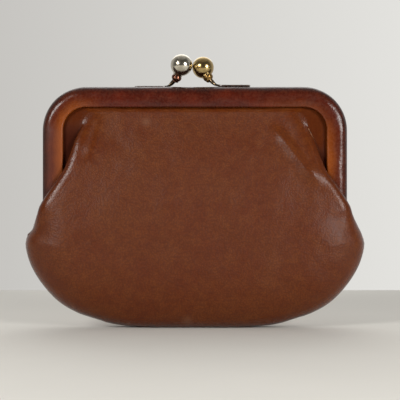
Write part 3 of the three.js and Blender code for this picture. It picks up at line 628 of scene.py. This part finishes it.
def panel_sheet():
    """Points, faces, each face's side and the distance to the border, for the front panel as one closed
    sheet: the patch, the ribbon beyond its border, and the same again behind it, moved in along the
    normals."""
    x, z, away, depth = panel_patch()
    rows, columns = x.shape
    index = np.arange(rows * columns).reshape(rows, columns)
    ring = np.concatenate([index[-1, :-1], index[::-1, -1][:-1], index[0, ::-1][:-1], index[:, 0][:-1]])
    deep = 3
    inner_ring = np.concatenate([
        index[-1 - deep, :-1], index[::-1, -1 - deep][:-1], index[deep, ::-1][:-1], index[:, deep][:-1],
    ])
    patch = np.stack([x.ravel(), z.ravel(), depth.ravel()], axis=1)
    border = patch[ring, :2]
    along = np.roll(border, -1, axis=0) - np.roll(border, 1, axis=0)
    outward = np.stack([-along[:, 1], along[:, 0]], axis=1)
    outward /= np.linalg.norm(outward, axis=1)[:, None]
    for _ in range(6):
        outward = (np.roll(outward, 1, axis=0) + 2 * outward + np.roll(outward, -1, axis=0)) / 4
    outward /= np.linalg.norm(outward, axis=1)[:, None]
    keys = ribbon_keys(border, patch[ring, 2], outward)
    keys = [patch[inner_ring]] + keys + [2 * keys[-1] - keys[-2]]
    lines = []
    for a, b, c, d in zip(keys[:-3], keys[1:-2], keys[2:-1], keys[3:]):
        for t in np.arange(1, RIBBON_STEPS + 1) / RIBBON_STEPS:
            lines.append(0.5 * (2 * b + (c - a) * t + (2 * a - 5 * b + 4 * c - d) * t**2
                                + (3 * b - a - 3 * c + d) * t**3))
    count = len(ring)
    points = np.vstack([patch] + lines)
    levels = [ring] + [len(patch) + k * count + np.arange(count) for k in range(len(lines))]
    strips = [
        np.stack([a, np.roll(a, -1), np.roll(b, -1), b], axis=1) for a, b in zip(levels[:-1], levels[1:])
    ]
    cells = grid_faces(rows, columns)
    if directed(cells, ring[0], ring[1]):
        cells = cells[:, ::-1]
    faces = np.vstack([cells] + strips)
    body = np.stack([points[:, 0], -points[:, 2], points[:, 1]], axis=1)
    near_corner = np.hypot(np.abs(body[:, 0]) - 34.6, body[:, 2] - 70.9)
    pinned = np.isin(np.arange(len(body)), levels[-1])
    body = relaxed(body, faces, np.where(pinned, 0, 0.6 * np.exp(-((near_corner / 4.2) ** 2))), 60)
    normal = point_normals(body, faces)
    if normal[index[rows // 2, columns // 2], 1] > 0:
        faces = faces[:, ::-1]
        normal = -normal
    burnished = away
    for line, height, _ in FOLDS:
        if height > 0:
            burnished = np.minimum(burnished, 2.4 + 0.8 * nearest(through(line, 40), x, z)[0])
    distance = np.concatenate([away.ravel(), np.tile(away.ravel()[ring], len(lines))])
    border_share = np.concatenate([burnished.ravel(), distance[len(patch):]])
    top_distance = np.concatenate([(PANEL_TOP - z).ravel(), np.zeros(len(points) - len(patch))])
    share = smooth(np.minimum(distance, top_distance + 1) / 6)
    back = body - mix(TURNED_THICKNESS, OUTER_THICKNESS, share)[:, None] * normal
    body[:, 2] = np.maximum(body[:, 2], 0)
    back[:, 2] = np.maximum(back[:, 2], 0)
    total = len(body)
    rim = levels[-1]
    after = np.roll(rim, -1)
    edge = np.stack([rim, after, after + total, rim + total], axis=1)
    if directed(faces, rim[0], after[0]):
        edge = edge[:, ::-1]
    everything = np.vstack([faces, faces[:, ::-1] + total, edge])
    folded_in = 2 * (np.arange(len(faces)) >= len(cells) + TURNED_FROM * count)
    part = np.concatenate([folded_in, np.ones(len(faces)), np.full(len(edge), 2)])
    level = np.concatenate([np.zeros(len(patch)), np.repeat(np.arange(1, len(lines) + 1), count)])
    # Painted shade mask: the ribbon rows past the turn, fading out above a height on each side, darken the
    # colour as the shade in the recess.
    shade_painted_below = np.where(body[:, 0] < 0, SHADE_PAINTED_BELOW["left"], SHADE_PAINTED_BELOW["right"])
    turned_in_painted_shade = smooth((level - 1) / 4) * smooth((shade_painted_below - body[:, 2]) / 7)
    scuffed = sum(
        np.exp(-(((body[:, 0] - x) / width) ** 2) - ((body[:, 2] - z) / height) ** 2)
        for x, z, width, height in SCUFFS
    )
    values = {"border": border_share, "turned_in_painted_shade": turned_in_painted_shade, "scuffed": scuffed * (level == 0)}
    values = {label: np.concatenate([numbers, numbers]) for label, numbers in values.items()}
    return np.vstack([body, back]), everything, part, values


def directed(faces, a, b):
    """Whether some face runs from point a straight to point b."""
    return bool(np.any((faces == a) & (np.roll(faces, -1, axis=1) == b)))


def point_normals(points, faces):
    """Each point's normal: the sum of the cross products of the diagonals of the faces round it."""
    cross = np.cross(points[faces[:, 2]] - points[faces[:, 0]], points[faces[:, 3]] - points[faces[:, 1]])
    total = np.zeros_like(points)
    for k in range(4):
        np.add.at(total, faces[:, k], cross)
    return total / np.maximum(np.linalg.norm(total, axis=1), 1e-9)[:, None]


sheet_points, sheet_faces, sheet_part, sheet_values = panel_sheet()
for half, facing in (("front", 1), ("rear", -1)):
    finishes = [PANEL_GRAIN, PANEL_SUEDE, PANEL_TURNED]
    panel = put_mesh(f"{half}_panel", sheet_points * [1, facing, 1], sheet_faces, finishes,
                     sheet_part, sheet_values)
    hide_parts(f"{half}_panel_upper", f"{half}_panel_lower")
    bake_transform(panel)

# ---- The frame's leather covers ----


def frame_stations():
    """Stations along the frame's outer edge: (x, z) of the edge and the way inwards, from the left foot
    over the top to the right foot, and the reach at which the corner's lines would meet (its radius)."""
    down = np.concatenate([[LEG_FOOT, LEG_FOOT + 0.25, 42.2, 43.2], np.arange(44.6, CORNER_UP, 1.6)])
    left = np.stack([np.full(len(down), -FRAME_HALF_WIDTH), down], axis=1)
    arc = np.linspace(math.pi, math.pi / 2, 25)
    corner = [-CORNER_ACROSS, CORNER_UP] + CORNER_RADIUS * np.stack([np.cos(arc), np.sin(arc)], axis=1)
    across = np.arange(-CORNER_ACROSS + 2, 0.5, 2.0)
    bar = np.stack([across, np.full(len(across), FRAME_TOP)], axis=1)
    edge = np.vstack([left, corner, bar])
    inward = np.vstack([
        np.tile([1.0, 0.0], (len(left), 1)),
        -np.stack([np.cos(arc), np.sin(arc)], axis=1),
        np.tile([0.0, -1.0], (len(bar), 1)),
    ])
    flip = [-1, 1]
    return np.vstack([edge, edge[-1::-1] * flip]), np.vstack([inward, inward[-1::-1] * flip])


def bezier(a, b, c, d, count):
    """(1-t)^3 a + 3(1-t)^2 t b + 3(1-t) t^2 c + t^3 d."""
    t = np.linspace(0, 1, count)[:, None]
    a, b, c, d = (np.asarray(p, float) for p in (a, b, c, d))
    return (1 - t) ** 3 * a + 3 * (1 - t) ** 2 * t * b + 3 * (1 - t) * t**2 * c + t**3 * d


def cover_sections():
    """The cover's outer face and its inner face, as (depth, reach), with as many points in each: round
    from the parting plane over the shoulder to the rounded inner edge, and back under the lip."""
    outside = np.vstack([
        [(0.05, 0.5), (0.12, 0.22), (0.4, 0.03), (1.2, 0.0), (2.0, 0.0)],
        bezier((2.7, 0.0), (4.7, 0.0), (6.2, 1.3), (6.2, 3.4), 16),
        [(6.19, 4.2), (6.15, 5.0), (6.07, 5.8)],
        bezier((5.98, 6.35), (5.94, 6.7), (5.85, 7.0), (5.3, 7.0), 7),
        [(4.9, 7.0), (4.42, 6.98)],
    ])
    inside = np.vstack([
        [(0.05, 0.9), (0.12, 0.9), (0.4, 0.9), (1.2, 0.9), (2.0, 0.9)],
        bezier((2.7, 0.9), (4.3, 0.9), (5.3, 2.0), (5.3, 3.6), 16),
        [(5.3, 4.4), (5.3, 5.1), (5.3, 5.7)],
        bezier((5.3, 6.0), (5.3, 6.25), (5.2, 6.27), (5.1, 6.27), 7),
        [(4.8, 6.27), (4.42, 6.27)],
    ])
    return outside, inside


def frame_cover():
    """The two sections carried along the frame: a point is edge + reach * inward, at its depth. Near the
    feet the side at the parting plane draws back, so that the halves can turn."""
    edge, inward = frame_stations()
    outside, inside = cover_sections()
    section = np.vstack([outside, inside[::-1]])
    depth, reach = section.T
    place = edge[:, None] + reach[None, :, None] * inward[:, None]
    run = np.concatenate([[0], np.cumsum(np.hypot(*np.diff(edge, axis=0).T))])
    uneven = 0.07 * ripple(run[:, None] + 0 * reach, 3 * reach[None, :], 9, 8)
    swell = uneven * smooth((depth - 3) / 3) * smooth((7.2 - reach) / 1.5)
    least = np.interp(place[..., 1], [LEG_FOOT, HINGE_HEIGHT + 0.2], [1.27, 0.05])
    deep = np.maximum(depth[None, :] + swell, least)
    rings = np.stack([place[..., 0], -deep, place[..., 1]], axis=2)
    stations, around = rings.shape[:2]
    faces = [grid_faces(stations, around, close=True)]
    half = len(outside)
    out = np.arange(half)
    back = around - 1 - out
    cap = np.stack([out[:-1], out[1:], back[1:], back[:-1]], axis=1)
    faces += [cap[:, ::-1], cap + (stations - 1) * around]
    across, up = place[..., 0], place[..., 1]
    on_leg = np.where(across < 0, 1 - smooth((across + 46) / 18),
                      np.maximum(1 - smooth((up - 60) / 15), 0.28 * smooth((across - 14) / 20)))
    matt = np.where(across < 0, 1 - smooth((up - 62) / 8), 0)
    values = {"reach": np.tile(reach, stations), "leg": on_leg.ravel(), "matt": matt.ravel()}
    return rings.reshape(-1, 3), np.vstack(faces), values


cover_points, cover_faces, cover_values = frame_cover()
for half, facing in (("front", 1), ("rear", -1)):
    cover = put_mesh(f"{half}_cover", cover_points * [1, facing, 1], cover_faces, [COVER], None, cover_values)
    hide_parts(f"{half}_frame_cover")
    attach(cover, f"{half}_frame")

# ---- The clasps ----

BALL = np.array([3.71, 0.9, 87.6])
STEM = [
    (9.4, -1.95, 80.98), (8.4, -1.95, 81.12), (7.5, -1.85, 81.55), (6.2, -1.15, 82.85), (5.1, -0.35, 84.15),
    (4.4, 0.28, 85.9), (3.9, 0.73, 87.1),
]
COLLAR_CENTRE = np.array([5.3, -0.52, 83.9])
COLLAR_WAY = BALL - COLLAR_CENTRE
PLATE_FROM, PLATE_TO = 8.6, 19.4
PLATE_RIVETS = [11.2, 16.4]
PLATE_DEPTH = 1.95
PLATE_BASE = 80.6
PLATE_HEIGHT = 0.6


def rounded_section(half_width, half_height, power, around):
    """A superellipse ring: |a/w|^p + |b/h|^p = 1, as (a, b) for each station."""
    turn = np.linspace(0, math.tau, around, endpoint=False)
    c, s = np.cos(turn), np.sin(turn)
    exponent = 2 / np.asarray(power, float)[:, None]
    a = np.asarray(half_width, float)[:, None] * np.sign(c) * np.abs(c) ** exponent
    b = np.asarray(half_height, float)[:, None] * np.sign(s) * np.abs(s) ** exponent
    return a, b


def stem_body():
    """The spring wire: a flat strap at the plate that turns round by the collar, carried along its bent
    line."""
    count = 70
    line = through(STEM, count)
    way = np.gradient(line, axis=0)
    way /= np.linalg.norm(way, axis=1)[:, None]
    across = np.cross(way, np.cross([0, 1.0, 0], way))
    across /= np.linalg.norm(across, axis=1)[:, None]
    up = np.cross(way, across)
    t = np.linspace(0, 1, count)
    round_share = smooth((t - 0.08) / 0.3)
    half_width, half_height = mix(0.95, 0.72, round_share), mix(0.32, 0.72, round_share)
    a, b = rounded_section(half_width, half_height, mix(4, 2, round_share), 28)
    return loft(line[:, None] + a[..., None] * across[:, None] + b[..., None] * up[:, None])


def collar_body():
    """A bead turned about the line to the ball, with a rolled foot and a flared rim."""
    profile = [(0.0, -1.5), (0.8, -1.5), (1.06, -1.4), (1.14, -1.2), (1.1, -1.02), (1.34, -0.8), (1.6, -0.42),
               (1.7, 0.0), (1.64, 0.42), (1.44, 0.76), (1.36, 0.92), (1.5, 1.06), (1.56, 1.24), (1.46, 1.42),
               (0.9, 1.5), (0.0, 1.5)]
    return turned_body(through(profile, 60), COLLAR_WAY, COLLAR_CENTRE, 56)


def ball_body():
    """A sphere of revolution about the line to the collar, with a short neck where it is crimped."""
    angle = np.linspace(math.pi / 2, math.radians(-62), 70)
    sphere = BALL_RADIUS * np.stack([np.cos(angle), np.sin(angle)], axis=1)
    sphere[0, 0] = 0
    neck = through([sphere[-1], (1.62, -3.42), (1.62, -3.62), (1.45, -3.7), (1.0, -3.55), (0.0, -3.5)], 16)
    return turned_body(np.vstack([sphere, neck[1:]]), COLLAR_WAY, BALL, 96)


def plate_body():
    """The spring plate: a superellipse section carried along X, drawn in at the inner end and eased at
    both."""
    t = np.linspace(0, 1, 60)
    ease = np.sqrt(np.clip(1 - (2 * t - 1) ** 24, 0.0, 1))
    width = mix(0.8, 1.25, smooth(t / 0.16)) * (0.55 + 0.45 * ease)
    height = PLATE_HEIGHT / 2 * (0.35 + 0.65 * ease)
    a, b = rounded_section(width, height, np.full(60, 6.0), 40)
    x = np.broadcast_to((PLATE_FROM + t * (PLATE_TO - PLATE_FROM))[:, None], a.shape)
    return loft(np.stack([x, a - PLATE_DEPTH, b + PLATE_BASE + PLATE_HEIGHT / 2], axis=2))


def plate_rivet(x):
    """A domed head on the plate, a shaft, and a peened tail under the channel's web."""
    dome = [(0.62 * math.cos(a), 0.62 + 0.08 * math.sin(a)) for a in np.linspace(math.pi / 2, 0, 9)]
    shaft = [(0.62, 0.56), (0.42, 0.56), (0.42, -2.0)]
    tail = [(0.6, -2.0), (0.6, -2.25), (0.0, -2.3)]
    profile = [(0.0, dome[0][1])] + dome[1:] + shaft + tail
    return turned_body(np.array(profile), (0, 0, 1), (x, -PLATE_DEPTH, FRAME_TOP + 0.1), 32)


def inner_rivet():
    """The rivet near the wire."""
    return plate_rivet(PLATE_RIVETS[0])


def outer_rivet():
    """The rivet near the plate's outer end."""
    return plate_rivet(PLATE_RIVETS[1])


# Years of snapping have bent the two wires a little: the rear ball stands higher, and the two all but touch.
BALL_SHIFT = {"front": np.array([-0.1, 0, -0.25]), "rear": np.array([-0.1, 0, 0.35])}


def clasp_place(points, half):
    """From the front clasp drawn about the clasps' middle to its place; the rear one faces the other way."""
    if half == "front":
        return points - [CLASP_OFFSET, 0, 0]
    return points * [-1, -1, 1] - [CLASP_OFFSET, 0, 0]


BOTH_LACQUERED = {"front": LACQUER, "rear": LACQUER}
CLASP_PIECES = [
    ("stem", stem_body, "clasp_wire", "clasp", "brass", {"front": WIRE, "rear": WIRE}),
    ("collar", collar_body, "clasp_collar", "clasp", "brass", {"front": OLD_BRASS, "rear": BRONZE}),
    ("ball", ball_body, "clasp_ball", "clasp", None, {"front": BRASS, "rear": NICKEL}),
    ("plate", plate_body, "clasp_plate", "frame", "brown_lacquer", BOTH_LACQUERED),
    ("rivet_inner", inner_rivet, "plate_rivet_inner", "frame", "brass", BOTH_LACQUERED),
    ("rivet_outer", outer_rivet, "plate_rivet_outer", "frame", "brass", BOTH_LACQUERED),
]
for label, make, node, body, slot_name, finishes in CLASP_PIECES:
    points, faces = make()
    for half in ("front", "rear"):
        shift = BALL_SHIFT[half] if label == "ball" else 0
        piece = put_mesh(f"{half}_snap_{label}", clasp_place(points + shift, half), faces, [finishes[half]])
        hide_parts(f"{half}_{node}")
        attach(piece, f"{half}_{body}")

# ---- Thread ----

STITCH = 2.4
STITCH_DEPTH = 0.78
SEAM_ALLOWANCE = 2.5  # from the outline to the line of stitches
TACK_ACROSS, TACK_HEIGHT = 53.6, 34.35
TURN = 0.46  # of the thread round the tack


def seam_stitches():
    """Saddle stitches on both seam allowances, 2.5 mm inside the outline: short capsules, one to each
    stitch."""
    side = np.array(SIDE[:5], float)
    outline = through(np.vstack([side[::-1] * [-1, 1], BOTTOM[1:-1], side]), 400)
    way = np.gradient(outline, axis=0)
    way /= np.linalg.norm(way, axis=1)[:, None]
    line = outline + SEAM_ALLOWANCE * np.stack([-way[:, 1], way[:, 0]], axis=1)
    run = np.concatenate([[0], np.cumsum(np.hypot(*np.diff(line, axis=0).T))])
    centres = np.arange(STITCH, run[-1] - STITCH, STITCH)
    bodies = []
    for at in centres:
        x, z, wx, wz = (np.interp(at, run, c) for c in (line[:, 0], line[:, 1], way[:, 0], way[:, 1]))
        for facing in (-1, 1):
            bend = np.linspace(-1, 1, 9)
            depth = facing * (STITCH_DEPTH - 0.25 * bend**2)
            centre = np.stack([x + wx * bend * 0.95, depth, z + wz * bend * 0.95], axis=1)
            radius = 0.24 * np.sqrt(np.clip(1 - bend**6, 0.02, 1))
            turn = np.linspace(0, math.tau, 8, endpoint=False)
            ring = np.cos(turn)[:, None] * [-wz, 0, wx] + np.sin(turn)[:, None] * np.array([0, 1.0, 0])
            bodies.append(loft(centre[:, None] + radius[:, None, None] * ring))
    return joined(bodies)


def seam_tack(side):
    """Thread wound seven times round the end of the seam: a bar whose radius rises and falls with each
    turn."""
    y = np.linspace(-1.6, 1.6, 113)
    ends = np.sqrt(np.clip(1 - (y / 1.62) ** 10, 0, 1))
    radius = (0.4 + 0.09 * np.abs(np.cos(math.pi * y / TURN))) * ends
    profile = np.stack([radius, y], axis=1)
    return turned_body(profile, (0, 1, 0), (side * TACK_ACROSS, 0, TACK_HEIGHT), 20)


stitches = put_mesh("seam_stitches", *seam_stitches(), [LINEN])
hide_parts("seam_thread")
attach(stitches, "pouch")
for label, side in (("left", -1), ("right", 1)):
    tack = put_mesh(f"wound_tack_{label}", *seam_tack(side), [LINEN])
    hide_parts(f"seam_tack_{label}")
    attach(tack, "pouch")

# ---- The CAD nodes that stay ----

KEPT = {
    "frame_channel": GILT,
    "channel_cord": PAPER,
    "hinge_lug": STEEL,
    "hinge_rivet": STEEL,
    "hinge_washer": STEEL,
}
for name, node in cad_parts.items():
    for word, finish in KEPT.items():
        if word in name:
            node.data.materials.clear()
            node.data.materials.append(finish)

# ---- Floor, light and camera ----


def floor_paper():
    """Matt off-white card, with a very faint unevenness."""
    made, tree, shader = new_material("floor_card", Roughness=0.85, Specular_IOR_Level=0.2)
    place = add(tree, "TexCoord").outputs["Object"]
    cloud = add(tree, "TexNoise", {"Vector": place, "Scale": 1 / (60 * MM), "Detail": 2.0})
    tone = toned(tree, cloud.outputs["Fac"], linear("#d8d6d0"), linear("#dfddd7"))
    tree.links.new(tone, shader.inputs["Base Color"])
    return made


FLOOR_SIDE, FLOOR_FRONT, FLOOR_BACK = 900, -600, 163
FLOOR_THICKNESS = 4.0
floor_corners = [
    (-FLOOR_SIDE, FLOOR_FRONT), (FLOOR_SIDE, FLOOR_FRONT),
    (FLOOR_SIDE, FLOOR_BACK), (-FLOOR_SIDE, FLOOR_BACK),
]
floor_points = np.array([(x, y, z) for z in (-FLOOR_THICKNESS, 0.0) for x, y in floor_corners], float)
floor_sides = np.array([(3, 2, 1, 0), (4, 5, 6, 7), (0, 1, 5, 4), (1, 2, 6, 5), (2, 3, 7, 6), (3, 0, 4, 7)])
floor = put_mesh("floor", floor_points, floor_sides, [floor_paper()])
floor.data.polygons.foreach_set("use_smooth", np.zeros(6, bool))

world = bpy.data.worlds.new("studio")
bpy.context.scene.world = world
world.use_nodes = True
sky = world.node_tree
sky.nodes.clear()
direction = add(sky, "SeparateXYZ", {"Vector": add(sky, "TexCoord").outputs["Generated"]})
behind = add(sky, "MapRange", {
    "Value": direction.outputs["Y"], "From Min": -0.4, "From Max": 0.7, "To Min": 0.10, "To Max": 0.62,
}, interpolation_type="SMOOTHSTEP")
# The backdrop seen straight by the camera: the wall colour with painted shade, darker to the left and lighter
# to the right.
across = spread(sky, direction.outputs["X"], -0.17, 0.17)
backdrop_shade = toned(sky, across, linear("#c6c4c0"), linear("#e3e2de"))
wall = add(sky, "Background", {"Color": backdrop_shade, "Strength": 1.0})
room = add(sky, "Background", {"Color": (1.0, 0.98, 0.95, 1), "Strength": behind.outputs[0]})
camera_ray = add(sky, "LightPath").outputs["Is Camera Ray"]
seen = add(sky, "MixShader", {0: camera_ray, 1: room.outputs[0], 2: wall.outputs[0]})
add(sky, "OutputWorld", {"Surface": seen.outputs[0]})

AIM = np.array([0.0, 0.0, 0.045])


def soft_lamp(name, azimuth, elevation, distance, width, watts, colour):
    """A round soft lamp that looks at the purse from an azimuth (0 in front, + to the right) and
    elevation."""
    data = bpy.data.lights.new(name, "AREA")
    data.shape = "DISK"
    data.size = width
    data.energy = watts
    data.color = colour
    made = bpy.data.objects.new(name, data)
    az, el = math.radians(azimuth), math.radians(elevation)
    away = np.array([math.sin(az) * math.cos(el), -math.cos(az) * math.cos(el), math.sin(el)])
    made.location = AIM + distance * away
    made.rotation_euler = (math.pi / 2 - el, 0, az)
    bpy.context.scene.collection.objects.link(made)
    return made


soft_lamp("lamp_left", -40, 22, 0.6, 0.19, 1.82, (1.0, 0.98, 0.95))
soft_lamp("lamp_right", 43, 12, 0.6, 0.22, 2.24, (1.0, 0.98, 0.95))
soft_lamp("lamp_above", 0, 84, 0.9, 1.0, 0.55, (1.0, 0.99, 0.97))
soft_lamp("lamp_behind", 180, 40, 0.9, 0.9, 2.3, (1.0, 0.99, 0.97))

camera_data = bpy.data.cameras.new("camera")
camera_data.sensor_width = 36
camera_data.lens = 107
camera_data.clip_start = 0.01
camera = bpy.data.objects.new("camera", camera_data)
camera.location = (1.7 * MM, -400 * MM, 42.7 * MM)
camera.rotation_euler = (math.pi / 2, 0, 0)
bpy.context.scene.collection.objects.link(camera)
bpy.context.scene.camera = camera
bpy.context.scene.view_settings.view_transform = "Standard"
